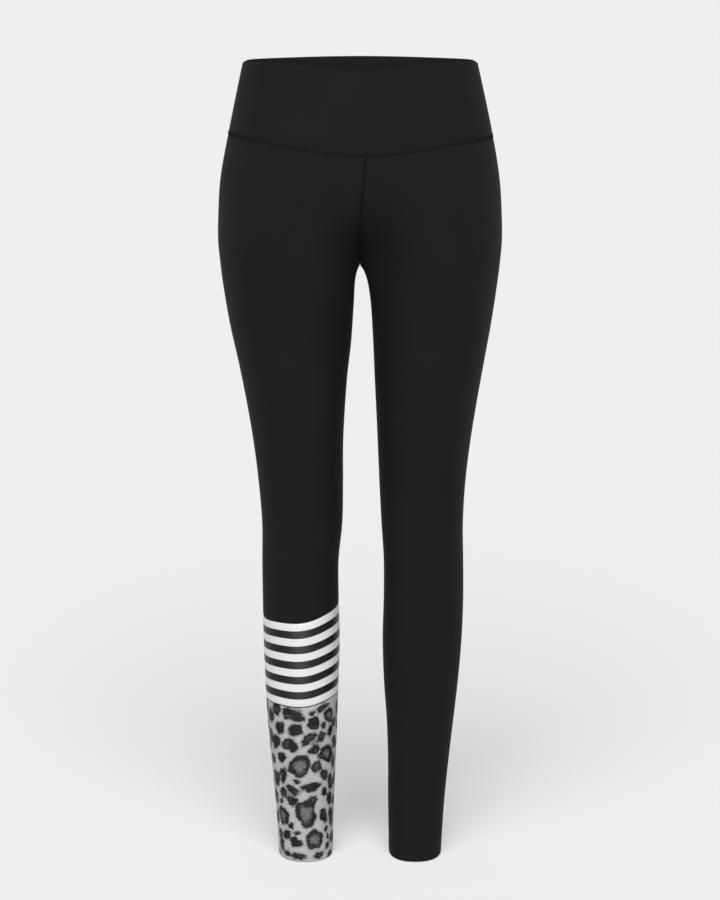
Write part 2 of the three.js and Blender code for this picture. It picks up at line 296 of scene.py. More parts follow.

# Where painted shade darkens the cloth softly above the crotch, how much and how dark, and
# how much lighter the band's inside is painted, as painted light.
CROTCH_SHADE_X = 6
CROTCH_SHADE_Z = -196
CROTCH_SHADE_REACH = 42
CROTCH_SHADE_SHARE = 0.66
CROTCH_SHADE_TONE = 0.1
INSIDE_PAINTED_LIGHT_TONE = 2.2

# Distances from a seam at which the cloth gets extra lines of points, so that it can turn in.
SEAM_LINES = (0, 0.7, 1.5, 2.3, 3, 3.8, 5, 7)
SIDE_LINES = (0, 0.6, 1.3, 2.4, 4.5)
FLATLOCK_HALF = 3
BAND_STITCH_HEIGHT = 5.6
HEM_STITCH_HEIGHT = 12
STITCH_PITCH = 2.4
STITCHES_APART = 3.2
STITCH_LIFT = 0.12
ROW_LIFT = 0.1
HALF_BAND = 240
HEM_POINTS = 360
LAST_SHARE = 0.999

# How the cloth dents at a seam and at a row of stitches, and the folds of its edges.
SEAM_DENT_REACH = 1.2
STITCH_DENT = 0.45
STITCH_DENT_REACH = 0.75
BAND_DENT = 0.55
BAND_DENT_LIFT = 0.9
CENTRE_DENT = 0.4
BLACK_HEM_DENT = 0.16
PRINT_HEM_DENT = 0.08
RIDGE_PLACE = 1.9
RIDGE_SHARE = 0.4
HEM_FOLD = 1.3
BAND_FOLD = 1.1

# How finely the cloth is divided.
TANGENT_STEP = 1.5
LEVEL_STEP = 0.6
ROW_HEIGHT = 4.6
SHORT_LEG_ROWS_END = -628
HEM_ROWS_END = HEM_Z + 4
LEG_COLUMNS, BAND_COLUMNS, STRIPE_COLUMNS, SPOT_COLUMNS = 46, 40, 40, 70
BAND_ROWS, BAND_INNER_ROWS, STRIPE_ROWS, SPOT_ROWS = 20, 14, 26, 112
BAND_LINES = (0, 0.7, 1.5, 2.5, 3.6, 4.8, 5.6, 6.4, 7.6, 9.5)

# Where a column of points stands on a row.
FROM_CENTRE, SHARE, FROM_SIDE, WHOLE = 0, 1, 2, 3


class LeggingsSizes(bpy.types.PropertyGroup):
    """Sizes of the cloth and the sewing."""

    cloth: bpy.props.FloatProperty(
        name="Cloth", description="Thickness of one layer of knit", default=0.0012, unit="LENGTH")
    band_cloth: bpy.props.FloatProperty(
        name="Band cloth", description="Thickness of each of the waistband's two layers",
        default=0.001, unit="LENGTH")
    hem_depth: bpy.props.FloatProperty(
        name="Hem depth", description="How far the hem is turned up inside", default=0.018,
        unit="LENGTH")
    seam_roll: bpy.props.FloatProperty(
        name="Seam roll", description="How far the cloth turns in at a seam", default=0.0008,
        unit="LENGTH")
    thread: bpy.props.FloatProperty(
        name="Thread", description="Radius of the sewing thread", default=0.00022, unit="LENGTH")
    creasing: bpy.props.FloatProperty(
        name="Creasing", description="Share of the creases' full depth", default=1,
        subtype="FACTOR")


class LeggingsColours(bpy.types.PropertyGroup):
    """Colours of the knit, the prints and the thread."""

    black: bpy.props.FloatVectorProperty(
        name="Black", description="The black knit", subtype="COLOR",
        default=(0.006, 0.006, 0.0066))
    white: bpy.props.FloatVectorProperty(
        name="White", description="The light stripes", subtype="COLOR",
        default=(0.55, 0.55, 0.561))
    ink: bpy.props.FloatVectorProperty(
        name="Ink", description="The dark stripes", subtype="COLOR",
        default=(0.0065, 0.0065, 0.0078))
    ground: bpy.props.FloatVectorProperty(
        name="Ground", description="The spotted print's light ground", subtype="COLOR",
        default=(0.335, 0.325, 0.319))
    spot: bpy.props.FloatVectorProperty(
        name="Spot", description="The print's dark spots", subtype="COLOR",
        default=(0.0085, 0.0078, 0.0074))
    core: bpy.props.FloatVectorProperty(
        name="Core", description="The middles of the large spots", subtype="COLOR",
        default=(0.1, 0.096, 0.094))
    thread: bpy.props.FloatVectorProperty(
        name="Thread", description="The black sewing thread", subtype="COLOR",
        default=(0.0125, 0.0125, 0.0132))
    hem_thread: bpy.props.FloatVectorProperty(
        name="Hem thread", description="The black hem's thread", subtype="COLOR",
        default=(0.0065, 0.0065, 0.007))
    print_thread: bpy.props.FloatVectorProperty(
        name="Print thread", description="The spotted hem's thread", subtype="COLOR",
        default=(0.25, 0.245, 0.24))


def smooth_between(rows, keys, column, at):
    """A smooth value between the rows of a table whose keys only rise or only fall."""
    keys = np.array(keys, float)
    values = np.array([getattr(row, column) for row in rows], float)
    if keys[1] < keys[0]:
        keys, at = -keys, -at
    last = len(keys) - 1
    before = np.maximum(np.arange(last + 1) - 1, 0)
    after = np.minimum(np.arange(last + 1) + 1, last)
    slopes = (values[after] - values[before]) / (keys[after] - keys[before])
    i = np.clip(np.searchsorted(keys, at) - 1, 0, last - 1)
    span = keys[i + 1] - keys[i]
    s = np.clip((at - keys[i]) / span, 0, 1)
    return (
        (2 * s**3 - 3 * s**2 + 1) * values[i]
        + (s**3 - 2 * s**2 + s) * span * slopes[i]
        + (3 * s**2 - 2 * s**3) * values[i + 1]
        + (s**3 - s**2) * span * slopes[i + 1]
    )


def section(column, z):
    """A measure of the garment's section at a level."""
    return smooth_between(SECTIONS, [row.z for row in SECTIONS], column, z)


def inseam(column, z):
    """How far an inseam stands off the middle plane, 0 above the crotch."""
    drop = np.sqrt(np.maximum(CROTCH_Z - z, 0))
    return smooth_between(INSEAMS, [math.sqrt(row.drop) for row in INSEAMS], column, drop)


def filled_out(face, z, bow):
    """How far the inner half of a section has filled out from a leg's oval to the trunk's flat
    middle. At the centre seam, where bow is 0, that starts at the crotch, and further out lower."""
    reach = THIGH_BLEND * bow
    height = (FRONT_RISE_CURVE if face == FRONT else BACK_RISE_CURVE) + reach
    left = 1 - np.clip((z - CROTCH_Z + reach) / height, 0, 1)
    return (1 - left * left) ** (0.5 + bow)


def dip(x, reach):
    """1 in the middle of an edge, falling to 0 at a distance from it."""
    return 0.5 + 0.5 * np.cos(math.pi * np.minimum(np.abs(x), reach) / reach)


def smoothstep(value, low, high):
    """0 below low and 1 above high, with a smooth change between them."""
    s = np.clip((value - low) / (high - low), 0, 1)
    return s * s * (3 - 2 * s)


def top_edge(face):
    """The waistband's top edge, which dips in front and is a little lower at the side seams."""
    half = section("left", np.array(0.0))
    reach = TOP_DIP_REACH if face == FRONT else half
    return lambda x: (-TOP_DIP[face] * dip(x, reach)
                      - SIDE_DROP * np.minimum(np.abs(x) / half, 1) ** SIDE_DROP_POWER)


def band_edge(face):
    """The seam below the waistband, which hangs lower in the middle."""
    reach = section("left", np.array(BAND_EDGE_Z))
    return lambda x: BAND_EDGE_Z - BAND_DIP[face] * dip(x, reach) + BAND_SLOPE * x


def stripe_edge(edge, face):
    """An edge of the striped panel, which climbs inwards and hangs lower in front."""
    return lambda x: (edge.z + edge.slope * (x - PANEL_MIDDLE_X)
                      - STRIPE_DIP[face] * dip(x - STRIPE_DIP_X, STRIPE_DIP_REACH))


def level(z):
    return lambda x: np.full(np.shape(x), float(z))


def moved(row, up):
    return lambda x: row(x) + up


def rows_between(first, last, count):
    """Rows that share out the way between two others, which are left out."""
    shares = np.arange(1, count) / count
    return [lambda x, s=s: (1 - s) * first(x) + s * last(x) for s in shares]


def lean(face, x, z):
    """How far the front centre seam draws the cloth of the legs near it to the wearer's left."""
    if face == BACK:
        return np.zeros(np.shape(x))
    return SEAM_LEAN * smoothstep(z, SEAM_LEAN_END_Z, BAND_EDGE_Z) * dip(x, SEAM_LEAN_REACH)


def arcs(side, face, z):
    """At each level, points from the centre seam or inseam round to the side seam."""
    name = SIDE_NAMES[side]
    outer = section(name, z)[:, None]
    inner = (inseam(name, z) + np.where(z <= CROTCH_Z, SEAM_GAP / 2, 0))[:, None]
    bent = inner * smoothstep(CROTCH_Z - z, 0, ARCH_DROP)[:, None]
    middle = section("side", z)[:, None]
    depth = section("front" if face == FRONT else "back", z)[:, None] - face * middle
    full = section("full", z)[:, None]
    angle = np.linspace(0, math.pi, 2 * QUARTER_STEPS + 1)[None, :]
    is_inner = np.arange(2 * QUARTER_STEPS + 1)[None, :] < QUARTER_STEPS
    radius = np.where(is_inner, outer * full - bent, outer * (1 - full))
    across = np.sign(np.cos(angle)) * np.abs(np.cos(angle)) ** (2 / SQUARENESS)
    bow = np.maximum(np.sin(angle), 0) ** (2 / SQUARENESS)
    swell = np.where(is_inner, bow + (1 - bow) * filled_out(face, z[:, None], bow), bow)
    x = outer * full - radius * across
    edge = np.maximum((inner - bent) * across, 0)
    beyond = np.maximum(x - bent, 0)
    aside = bent + (beyond**ARCH_CORNER + edge**ARCH_CORNER) ** (1 / ARCH_CORNER)
    return side * np.where(is_inner, aside, x), middle + face * depth * swell


def read_arcs(x, y, lengths, along):
    """The points at these distances along the arcs, one for each arc."""
    steps = lengths.shape[1] - 1
    k = np.clip((lengths < along[:, None]).sum(axis=1) - 1, 0, steps - 1)
    n = np.arange(len(k))
    span = np.maximum(lengths[n, k + 1] - lengths[n, k], 1e-9)
    part = (along - lengths[n, k]) / span
    return x[n, k] + part * (x[n, k + 1] - x[n, k]), y[n, k] + part * (y[n, k + 1] - y[n, k])


Place = namedtuple("Place", "x y tangent along across total")


def place(side, face, z, kind, value):
    """Where columns of points stand at these levels, one level and one column for each point."""
    x, y = arcs(side, face, z)
    steps = np.hypot(np.diff(x, axis=1), np.diff(y, axis=1))
    lengths = np.concatenate([np.zeros((len(z), 1)), np.cumsum(steps, axis=1)], axis=1)
    total = lengths[:, -1] - SEAM_GAP / 2
    centre = SEAM_LINES[-1]
    fullest = np.clip(lengths[:, QUARTER_STEPS], centre, total - SIDE_LINES[-1])
    inner = np.maximum(np.minimum(0.5, section("full", z)), 1e-6)
    before = centre + (fullest - centre) * value / inner
    beyond = fullest + (total - SIDE_LINES[-1] - fullest) * (value - inner) / (1 - inner)
    shared = np.where(value < inner, before, beyond)
    choices = [value + SEAM_GAP / 2, shared, value * total]
    along = np.select([kind == FROM_CENTRE, kind == SHARE, kind == WHOLE], choices, total - value)
    at_x, at_y = read_arcs(x, y, lengths, along)
    ahead = read_arcs(x, y, lengths, np.minimum(along + TANGENT_STEP, lengths[:, -1]))
    behind = read_arcs(x, y, lengths, np.maximum(along - TANGENT_STEP, 0))
    tangent = np.stack([ahead[0] - behind[0], ahead[1] - behind[1], np.zeros(len(z))], axis=1)
    return Place(at_x, at_y, tangent, along, along - lengths[:, QUARTER_STEPS], total)


Skin = namedtuple("Skin", "points normals z across along total")


def seen(side, face, across):
    """A distance round the leg outwards, as one to the right for someone who looks at the face."""
    return across * (1 if side * face < 0 else -1)


def skin(side, face, row_levels, kind, value, leaning=True):
    """The garment's outside at rows and columns: the points, which way is out, and how far
    each lies from the panel's fullest line and from its centre and side seams."""
    near_z = row_levels(np.full(len(kind), side * abs(PANEL_MIDDLE_X), float))
    near = place(side, face, near_z, kind, value)
    shift = lean(face, near.x, near_z) if leaning else 0
    z = row_levels(near.x + shift)
    here = place(side, face, z, kind, value)
    x = here.x + (lean(face, here.x, z) if leaning else 0)
    above, below = (place(side, face, z + step, kind, value) for step in (LEVEL_STEP, -LEVEL_STEP))
    rise = np.full(len(z), 2 * LEVEL_STEP)
    upward = np.stack([above.x - below.x, above.y - below.y, rise], axis=1)
    normals = np.cross(here.tangent, upward) * -side * face
    normals /= np.linalg.norm(normals, axis=1, keepdims=True)
    return Skin(np.stack([x, here.y, z], axis=1), normals, z, here.across, here.along, here.total)


def creased(side, face, across, z):
    """How far the creases push the cloth out, which is mostly in."""
    offset = np.zeros(np.shape(z))
    rightwards = seen(side, face, across)
    for crease in CREASES:
        if (crease.side, crease.face) != (side, face):
            continue
        turn = math.radians(crease.turn)
        right, up = rightwards - crease.across, z - crease.z
        lengthwise = right * math.cos(turn) + up * math.sin(turn)
        out = (lengthwise / (crease.length / 2)) ** 2
        crosswise = up * math.cos(turn) - right * math.sin(turn) + crease.bend * out
        fade = np.clip(1 - out, 0, 1) ** 2
        trough = np.exp(-((crosswise / crease.width) ** 2))
        ridge = np.exp(-(((crosswise - RIDGE_PLACE * crease.width) / crease.width) ** 2))
        offset += crease.depth * fade * (RIDGE_SHARE * ridge - trough)
    return offset * bpy.context.scene.leggings_sizes.creasing


def turned_in(distance):
    """The dent of a plain seam."""
    roll = bpy.context.scene.leggings_sizes.seam_roll / MM
    return -roll * np.exp(-((distance / SEAM_DENT_REACH) ** 2))


def pressed(distance, line, depth=STITCH_DENT):
    """The dent of a row of stitches at a distance from a seam."""
    return -depth * np.exp(-(((distance - line) / STITCH_DENT_REACH) ** 2))


def columns_of(middle, near=SEAM_LINES, far=SIDE_LINES):
    """Columns of points from the centre seam or inseam to the side seam."""
    shares = np.arange(1, middle) / middle
    kind = [FROM_CENTRE] * len(near) + [SHARE] * len(shares) + [FROM_SIDE] * len(far)
    return np.array(kind), np.array([*near, *shares, *far[::-1]], float)


class Cloth:
    """A grid of cloth: its points, which way is out, and its measures, rows by columns."""

    GRIDS = ("points", "normals", "z", "across", "from_centre", "from_side", "crease")

    def __init__(self, side, face, rows, columns, leaning=True):
        kind, value = columns
        self.side, self.face = side, face
        laid = [skin(side, face, row, kind, value, leaning) for row in rows]
        self.points = np.array([row.points for row in laid])
        self.normals = np.array([row.normals for row in laid])
        self.z = np.array([row.z for row in laid])
        self.across = np.array([row.across for row in laid])
        self.from_centre = np.array([row.along for row in laid])
        self.from_side = np.array([row.total - row.along for row in laid])
        self.crease = creased(side, face, self.across, self.z)
        if side * face > 0:
            for name in self.GRIDS:
                setattr(self, name, getattr(self, name)[:, ::-1])

    def join(self, other):
        """Sets another grid to the right of this one, over a shared column."""
        for name in self.GRIDS:
            both = [getattr(self, name), getattr(other, name)[:, 1:]]
            setattr(self, name, np.concatenate(both, axis=1))
        return self

    def pushed(self, offset):
        """The points, moved out by the creases and this much more."""
        return self.points + self.normals * (self.crease + offset)[..., None]


def flat_map(cloth, points):
    """Each point's place on the flat cloth, in metres: across, and along from the first row."""
    steps = np.linalg.norm(np.diff(points, axis=0), axis=2)
    run = np.concatenate([np.zeros((1, steps.shape[1])), np.cumsum(steps, axis=0)])
    return np.stack([seen(cloth.side, cloth.face, cloth.across), cloth.z[:1] - run], axis=2) * MM


def add_object(name, mesh, materials):
    """A piece of the garment, riding with its one body."""
    piece = bpy.data.objects.new(name, mesh)
    bpy.context.scene.collection.objects.link(piece)
    for material in materials:
        mesh.materials.append(material)
    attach(piece, "root")
    return piece


def cloth_piece(node, points, flat, thickness, materials, fields):
    """A piece of cloth on a grid of points, given its thickness towards its inside."""
    name = node + "_cloth"
    rows, columns = points.shape[:2]
    bm = bmesh.new()
    bmesh.ops.create_grid(bm, x_segments=columns - 1, y_segments=rows - 1, size=0.5)
    mesh = bpy.data.meshes.new(name)
    bm.to_mesh(mesh)
    bm.free()
    if len(mesh.vertices) != rows * columns:
        raise ValueError(f"{name}: the grid has {len(mesh.vertices)} points, not {rows * columns}")
    plan = np.empty(3 * len(mesh.vertices))
    mesh.vertices.foreach_get("co", plan)
    plan = plan.reshape(-1, 3)
    column = np.rint((plan[:, 0] + 0.5) * (columns - 1)).astype(int)
    row = np.rint((0.5 - plan[:, 1]) * (rows - 1)).astype(int)
    mesh.vertices.foreach_set("co", (points[row, column] * MM).ravel())
    corners = np.empty(len(mesh.loops), int)
    mesh.loops.foreach_get("vertex_index", corners)
    layer = mesh.uv_layers.new(name="cloth")
    layer.data.foreach_set("uv", flat[row, column][corners].ravel())
    for field, values in fields.items():
        attribute = mesh.attributes.new(field, "FLOAT", "POINT")
        attribute.data.foreach_set("value", values[row, column].astype(np.float32))
    mesh.update()
    mesh.shade_smooth()
    piece = add_object(name, mesh, materials)
    solid = piece.modifiers.new("thickness", "SOLIDIFY")
    solid.thickness = thickness
    solid.offset = -1
    solid.material_offset = len(materials) - 1
    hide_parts(node)
    return piece


def thread_piece(name, strands, material):
    """Sewing threads along lines of points."""
    curve = bpy.data.curves.new(name, "CURVE")
    curve.dimensions = "3D"
    curve.bevel_depth = bpy.context.scene.leggings_sizes.thread
    curve.bevel_resolution = 0
    curve.use_fill_caps = True
    for strand in strands:
        spline = curve.splines.new("POLY")
        spline.points.add(len(strand) - 1)
        line = np.concatenate([strand * MM, np.ones((len(strand), 1))], axis=1)
        spline.points.foreach_set("co", line.ravel())
    drawn = bpy.data.objects.new(name + "_line", curve)
    bpy.context.scene.collection.objects.link(drawn)
    bpy.context.view_layer.update()
    shown = drawn.evaluated_get(bpy.context.evaluated_depsgraph_get())
    mesh = bpy.data.meshes.new_from_object(shown)
    bpy.data.objects.remove(drawn)
    bpy.data.curves.remove(curve)
    mesh.name = name
    mesh.materials.clear()
    mesh.shade_smooth()
    return add_object(name, mesh, [material])


class Value:
    """A number in a material's nodes. Sums written with it add the Math nodes."""

    def __init__(self, finish, socket):
        self.finish, self.socket = finish, socket

    def maths(self, operation, *inputs):
        settings = {"operation": operation}
        return self.finish.value("ShaderNodeMath", settings, dict(enumerate(inputs)))

    def __add__(self, other):
        return self.maths("ADD", self, other)

    def __sub__(self, other):
        return self.maths("SUBTRACT", self, other)

    def __rsub__(self, other):
        return self.maths("SUBTRACT", other, self)

    def __mul__(self, other):
        return self.maths("MULTIPLY", self, other)

    __radd__ = __add__
    __rmul__ = __mul__

    def fraction(self):
        return self.maths("FRACT", self)

    def sine(self):
        return self.maths("SINE", self)

    def step(self, low, high):
        """0 below low and 1 above high, with a smooth change between them."""
        settings = {"interpolation_type": "SMOOTHSTEP"}
        inputs = {"Value": self, "From Min": low, "From Max": high}
        return self.finish.value("ShaderNodeMapRange", settings, inputs)


class Finish:
    """A material, built up from nodes."""

    def __init__(self, name):
        self.material = bpy.data.materials.new(name)
        self.material.use_nodes = True
        self.tree = self.material.node_tree
        self.tree.nodes.clear()

    def node(self, kind, settings=None, inputs=None):
        """A node of this kind: its settings first, then the values or links of its sockets."""
        made = self.tree.nodes.new(kind)
        for name, value in (settings or {}).items():
            setattr(made, name, value)
        for name, value in (inputs or {}).items():
            socket = made.inputs[name]
            if isinstance(value, Value):
                self.tree.links.new(value.socket, socket)
            elif isinstance(value, bpy.types.NodeSocket):
                self.tree.links.new(value, socket)
            else:
                socket.default_value = value
        return made

    def value(self, kind, settings=None, inputs=None, output=0):
        return Value(self, self.node(kind, settings, inputs).outputs[output])

    def attribute(self, name):
        return self.value("ShaderNodeAttribute", {"attribute_name": name}, output="Fac")

    def flat(self, scale, turn=0):
        """The cloth's own flat map, turned by degrees and scaled."""
        uv = self.node("ShaderNodeUVMap", {"uv_map": "cloth"}).outputs[0]
        turned = self.node("ShaderNodeMapping", {"vector_type": "POINT"},
                           {"Vector": uv, "Rotation": (0, 0, math.radians(turn))}).outputs[0]
        return self.scaled(turned, (*scale, 1))

    def scaled(self, vector, scale):
        return self.node("ShaderNodeVectorMath", {"operation": "MULTIPLY"},
                         {0: vector, 1: scale}).outputs[0]

    def noise(self, vector, detail=2, roughness=0.5):
        inputs = {"Vector": vector, "Scale": 1, "Detail": detail, "Roughness": roughness}
        return self.value("ShaderNodeTexNoise", {"noise_dimensions": "3D"}, inputs)

    def mix(self, factor, first, second):
        """A colour between two, each a colour or a link."""
        made = self.node("ShaderNodeMix", {"data_type": "RGBA"}, {"Factor": factor})
        for socket, colour in ((made.inputs[6], first), (made.inputs[7], second)):
            if isinstance(colour, bpy.types.NodeSocket):
                self.tree.links.new(colour, socket)
            else:
                socket.default_value = (*colour, 1)
        return made.outputs[2]

    def knit(self, pitch, depth, strength):
        """The fine bumps of a jersey knit: its wales and courses."""
        uv = self.node("ShaderNodeUVMap", {"uv_map": "cloth"}).outputs[0]
        parts = self.node("ShaderNodeSeparateXYZ", {}, {0: uv})
        across, along = Value(self, parts.outputs[0]), Value(self, parts.outputs[1])
        wale = (across * (2 * math.pi / pitch)).sine()
        course = (along * (2 * math.pi / (pitch * 0.8)) + wale * 1.4).sine()
        fluff = self.noise(self.flat((900, 900)), 2)
        height = wale * 0.3 + course * 0.3 + fluff * 0.6
        return self.node("ShaderNodeBump", {}, {
            "Strength": strength, "Distance": depth, "Height": height}).outputs[0]

    def surface(self, inputs):
        """Ends the material with a surface of these inputs."""
        shader = self.node("ShaderNodeBsdfPrincipled", {}, inputs)
        self.node("ShaderNodeOutputMaterial", {}, {"Surface": shader.outputs[0]})
        return self.material


def tone(colour, factor):
    """A colour made darker or lighter."""
    return tuple(min(1.0, c * factor) for c in colour)


def black_jersey_finish():
    colours = bpy.context.scene.leggings_colours
    finish = Finish("black_jersey")
    heather = finish.noise(finish.flat((700, 260)), 3, 0.6)
    cloudy = finish.noise(finish.flat((16, 10)), 2)
    shade = (heather * 0.5 + cloudy * 0.5).step(0.25, 0.75)
    outside = finish.mix(shade, tone(colours.black, 0.84), tone(colours.black, 1.18))
    # Painted shade darkens the fronts above the crotch; painted light makes the band's inside
    # lighter.
    shaded = finish.mix(finish.attribute("under") * CROTCH_SHADE_SHARE, outside,
                        tone(colours.black, CROTCH_SHADE_TONE))
    colour = finish.mix(finish.attribute("inside"), shaded, tone(colours.black, INSIDE_PAINTED_LIGHT_TONE))
    return finish.surface({
        "Base Color": colour,
        "Roughness": 0.85,
        "Specular IOR Level": 0.1,
        "Sheen Weight": 0.008,
        "Sheen Roughness": 0.45,
        "Normal": finish.knit(0.0007, 0.0001, 0.35),
    })


def thread_finish(name, colour):
    finish = Finish(name)
    position = finish.node("ShaderNodeTexCoord").outputs["Object"]
    ply = finish.noise(finish.scaled(position, (1500, 1500, 1500)))
    colour = finish.mix(ply.step(0.3, 0.7), tone(colour, 0.6), tone(colour, 1.5))
    return finish.surface({"Base Color": colour, "Roughness": 0.7, "Specular IOR Level": 0.16})


def striped_jersey_finish():
    colours = bpy.context.scene.leggings_colours
    finish = Finish("striped_jersey")
    ragged = (finish.noise(finish.flat((1400, 1400)), 2) - 0.5) * 0.0012
    band = (finish.attribute("share") * STRIPE_PITCHES + ragged).fraction()
    starts = band.step(WHITE_SHARE - STRIPE_BLUR, WHITE_SHARE + STRIPE_BLUR)
    dark = starts * (1 - band.step(1 - STRIPE_BLUR, 1)) + (1 - band.step(0, STRIPE_BLUR))
    in_range = finish.attribute("share").step(0.0, 0.002)
    # Darker next to the seams: partly a painted seam shadow, partly the dark seam thread.
    seam = 1 - finish.attribute("seam").step(0.2, 1.0)
    mottle = finish.noise(finish.flat((420, 420)), 3, 0.65)
    white = finish.mix(mottle.step(0.3, 0.7), tone(colours.white, 0.975), colours.white[:])
    ink = finish.mix(mottle.step(0.35, 0.7), tone(colours.ink, 0.8), tone(colours.ink, 1.5))
    printed = finish.mix(dark * in_range, white, ink)
    colour = finish.mix(seam * 0.75, printed, tone(colours.ink, 1.5))
    return finish.surface({
        "Base Color": colour,
        "Roughness": mottle * 0.2 + 0.28,
        "Specular IOR Level": 0.15,
        "Normal": finish.knit(0.0006, 0.00008, 0.3),
    })


def spotted_jersey_finish():
    colours = bpy.context.scene.leggings_colours
    finish = Finish("spotted_jersey")
    hair = finish.noise(finish.flat((240, 950), 26), 3, 0.65)
    wisp = finish.noise(finish.flat((120, 430), 18), 2, 0.5)
    cloudy = finish.noise(finish.flat((75, 60)), 1)
    grain = finish.noise(finish.flat((1500, 1500)), 2)
    fringe = (hair - 0.5) * 9.5 + (wisp - 0.5) * 3.5
    depth = finish.attribute("spot")
    dark = (depth + 0.6 + fringe).step(-0.75, 0.75)
    soft = (depth + fringe * 1.5).step(-3.4, 0.3)
    core = (finish.attribute("core") + 1 + fringe * 0.5).step(-1.6, 3.2)
    halo = (finish.attribute("halo") + fringe * 0.7).step(-1.6, 1.6)
    ground = finish.mix(wisp.step(0.32, 0.68),
                        tone(colours.ground, 0.88), tone(colours.ground, 1.08))
    streaks = (hair * 0.75 + grain * 0.25).step(0.36, 0.64)
    middle = finish.mix(streaks, tone(colours.core, 0.6), tone(colours.core, 1.7))
    shaded = finish.mix(halo * 0.85, finish.mix(soft * 0.36, ground, colours.core[:]), middle)
    black = finish.mix((hair * 0.5 + wisp * 0.5).step(0.36, 0.66),
                       tone(colours.spot, 0.5), tone(colours.spot, 1.9))
    faded = finish.mix((hair * 0.6 + wisp * 0.4).step(0.34, 0.68),
                       tone(colours.core, 0.2), tone(colours.core, 0.75))
    spots = finish.mix(cloudy.step(0.46, 0.66) * depth.step(0.5, 3.5) * 0.9, black, faded)
    spotted = finish.mix(dark, shaded, spots)
    printed = finish.mix(core * 0.92, spotted, middle)
    # Darker next to the seams: partly a painted seam shadow, partly the dark seam thread.
    seam = 1 - finish.attribute("seam").step(0.2, 1.1)
    colour = finish.mix(seam * 0.8, printed, tone(colours.spot, 0.9))
    return finish.surface({
        "Base Color": colour,
        "Roughness": grain * 0.14 + 0.36,
        "Specular IOR Level": 0.07,
        "Normal": finish.knit(0.0006, 0.00008, 0.3),
    })


def jersey_inside_finish():
    colours = bpy.context.scene.leggings_colours
    finish = Finish("jersey_inside")
    mottle = finish.noise(finish.flat((300, 300)), 3, 0.6)
    colour = finish.mix(mottle.step(0.3, 0.7), tone(colours.white, 0.74), tone(colours.white, 0.84))
    return finish.surface({"Base Color": colour, "Roughness": 0.7, "Specular IOR Level": 0.3,
                           "Normal": finish.knit(0.0006, 0.00008, 0.4)})


def material(name, make):
    """A material by name, made the first time that it is asked for."""
    return bpy.data.materials.get(name) or make()


def spot_fields(face, across, down):
    """How deep each point lies inside the spots, their light middles and the greys between them,
    in millimetres, and negative outside."""
    dark, light, grey = (np.full(across.shape, FAR_OUTSIDE) for _ in range(3))
    chance = np.random.default_rng(SPOT_SEED)
    for spot in SPOTS:
        lobes = [(k, chance.uniform(0.3, 1) * size, chance.uniform(0, 2 * math.pi))
                 for k, size in SPOT_LOBES]
        rows, centre = (spot.down,), spot.across
        if face == BACK:
            lower = spot.down + BACK_SPOT_SHIFT
            rows, centre = (lower, lower - SPOT_REPEAT), -spot.across
        for row in rows:
            turn = math.radians(spot.turn if face == FRONT else -spot.turn)
            right, up = across - centre, row - down
            lengthwise = (right * math.cos(turn) + up * math.sin(turn)) / (spot.width / 2)
            crosswise = (up * math.cos(turn) - right * math.sin(turn)) / (spot.height / 2)
            radius = np.hypot(lengthwise, crosswise)
            angle = np.arctan2(crosswise, lengthwise)
            outline = 1 + sum(size * np.cos(k * angle + start) for k, size, start in lobes)
            scale = min(spot.width, spot.height) / 2
            inside = (outline - radius) * scale
            if spot.core == HALO:
                grey = np.maximum(grey, inside)
                continue
            if spot.core:
                lobed = 1 + sum(CORE_LOBES * size * np.cos(k * angle + start + CORE_TURN)
                                for k, size, start in lobes)
                middle = (spot.core * lobed - radius) * scale
                light = np.maximum(light, middle)
            dark = np.maximum(dark, inside)
    return {"spot": dark, "core": light, "halo": grey}


def leg_rows(face, foot):
    """Rows from under the waistband down to a level, close together at the crotch."""
    edge = moved(band_edge(face), -SEAM_GAP / 2)
    rows = [moved(edge, -d) for d in SEAM_LINES]
    rise = [CROTCH_Z + BACK_RISE_CURVE * (1 - math.cos(math.pi * i / 60))
            for i in range(30, -1, -1)]
    rows += rows_between(rows[-1], level(rise[0]), 4)
    levels = rise + [CROTCH_Z - 0.5 * i * i for i in range(1, 9)]
    count = round((levels[-1] - foot) / ROW_HEIGHT)
    levels += list(np.linspace(levels[-1], foot, count + 1)[1:])
    return rows + [level(z) for z in levels]


def hemmed_rows(rows):
    """Rows carried on over the hem's fold and back inside, with how far in each one lies."""
    inward = [0.0] * len(rows)
    for angle in np.linspace(0, math.pi, 9):
        rows = rows + [level(HEM_Z + (HEM_FOLD - HEM_FOLD * math.sin(angle)))]
        inward.append(HEM_FOLD * (1 - math.cos(angle)))
    depth = bpy.context.scene.leggings_sizes.hem_depth / MM
    for distance in np.linspace(HEM_FOLD, depth, 6)[1:]:
        rows = rows + [level(HEM_Z + distance)]
        inward.append(2 * HEM_FOLD)
    return rows, np.array(inward)


def seam_distance(cloth, *edges):
    """How far each point lies from the nearest seam of its piece: its sides and these edges."""
    nearest = np.minimum(cloth.from_centre, cloth.from_side)
    for edge_z in edges:
        nearest = np.minimum(nearest, np.abs(cloth.z - edge_z[None, :]))
    return nearest


def painted_crotch_shade(points):
    """Painted shade, 1 just above the crotch, where the cloth begins to turn under, falling softly
    to 0.
    """
    aside = (points[..., 0] - CROTCH_SHADE_X) / CROTCH_SHADE_REACH
    above = (points[..., 2] - CROTCH_SHADE_Z) / CROTCH_SHADE_REACH
    return np.exp(-(aside**2) - above**2)


def hem_dent(cloth, inward, depth):
    """The dent of the hem's stitches, on the outside alone."""
    return pressed(cloth.z - HEM_Z, HEM_STITCH_HEIGHT, depth) * (inward == 0)[:, None]


def black_materials():
    """The black knit, which is the same on both sides, with painted shade above the crotch and
    painted light on the waistband's inside.
    """
    return [material("black_jersey", black_jersey_finish)]


def print_materials(name, make):
    """A print for the outside, with the pale reverse of the cloth."""
    return [material(name, make), material("jersey_inside", jersey_inside_finish)]


